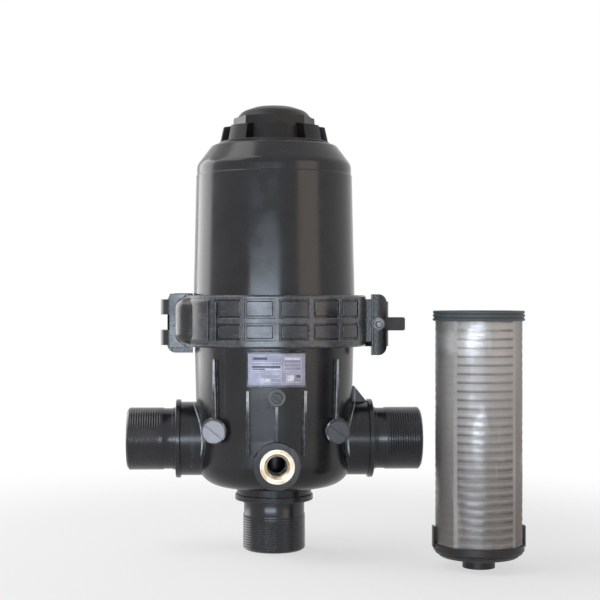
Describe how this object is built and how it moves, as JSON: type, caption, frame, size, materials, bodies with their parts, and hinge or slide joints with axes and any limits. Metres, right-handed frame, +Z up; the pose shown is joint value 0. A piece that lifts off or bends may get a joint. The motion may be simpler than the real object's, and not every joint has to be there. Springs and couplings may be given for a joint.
{
  "type": "screen filter",
  "caption": "Black plastic in-line screen filter with threaded side and bottom ports, clamped cover, screw cap, brass drain and a spare mesh element beside it.",
  "frame": {"origin": "centre of the bottom port's end face, on the filter axis", "axes": "+Z up along the filter axis, side ports along -X and +X, brass drain port facing -Y (the front)"},
  "size_m": [0.3616, 0.224, 0.4234],
  "materials": {
    "body_plastic": "glass-filled black moulding, semi-gloss with scuffs",
    "cover_plastic": "black moulding, polished, with fine rub marks",
    "clamp_plastic": "dark grey scuffed moulding, paler along the rib edges",
    "port_plastic": "black moulding with a fine male thread",
    "brass": "turned brass, slightly dulled",
    "plug_plastic": "grey moulded plug, rubbed pale",
    "dark_plug": "dark grey moulded plug",
    "label_foil": "matt foil plate with blank ruled boxes",
    "seal_rubber": "black nitrile rubber",
    "steel": "stainless steel, satin",
    "lever_plastic": "black-brown moulded lever",
    "mesh_steel": "stainless wire cloth, shiny",
    "cage_plastic": "grey moulded support cage",
    "grey_rubber": "grey rubber",
    "cap_plastic": "black moulding"
  },
  "bodies": {
    "housing": {"lower_body": "body_plastic", "left_port": "port_plastic", "right_port": "port_plastic", "bottom_port": "port_plastic", "drain_insert": "brass", "label_plate": "label_foil", "body_seal": "seal_rubber", "cover": "cover_plastic", "clamp_front": "clamp_plastic", "clamp_rear": "clamp_plastic", "hinge_pin": "steel", "latch_pin": "steel", "left_test_plug": "plug_plastic", "right_test_plug": "dark_plug", "centre_test_plug": "dark_plug", "left_plug_seal": "seal_rubber", "right_plug_seal": "seal_rubber", "centre_plug_seal": "seal_rubber", "screen_mesh": "mesh_steel", "screen_cage": "cage_plastic", "screen_end_cap": "cap_plastic", "screen_seal_ring": "grey_rubber"},
    "latch_lever": {"latch_lever": "lever_plastic", "latch_bolt": "steel"},
    "latch_washer": {"latch_washer": "steel"},
    "latch_nut": {"latch_nut": "steel"},
    "cap_seal": {"top_cap_seal": "seal_rubber"},
    "cap": {"top_cap": "cover_plastic"},
    "spare_screen": {"spare_mesh": "mesh_steel", "spare_cage": "cage_plastic", "spare_end_cap": "cap_plastic", "spare_seal_ring": "grey_rubber"}
  },
  "joints": [
    {"name": "latch_swing", "type": "hinge", "parent": "housing", "child": "latch_lever", "pos_m": [0.0985, 0.009, 0.2155], "axis": [0, 0, 1], "range_deg": [0, 95]},
    {"name": "nut_travel", "type": "slide", "parent": "latch_lever", "child": "latch_washer", "axis": [0, -1, 0], "range_m": [0, 0.006]},
    {"name": "nut_spin", "type": "hinge", "parent": "latch_washer", "child": "latch_nut", "pos_m": [0.0985, -0.0156, 0.2155], "axis": [0, -1, 0], "range_deg": [0, 2160]},
    {"name": "cap_lift", "type": "slide", "parent": "housing", "child": "cap_seal", "axis": [0, 0, 1], "range_m": [0, 0.016]},
    {"name": "cap_spin", "type": "hinge", "parent": "cap_seal", "child": "cap", "pos_m": [0, 0, 0.4], "axis": [0, 0, 1], "range_deg": [0, 1440]},
    {"name": "spare_lift", "type": "slide", "parent": "housing", "child": "spare_screen", "axis": [0, 0, 1], "range_m": [0, 0.26]}
  ],
  "couplings": [
    {"joint": "nut_spin", "follows": "nut_travel", "rad_per_m": 6283.2},
    {"joint": "cap_lift", "follows": "cap_spin", "m_per_rad": 0.00063662}
  ]
}
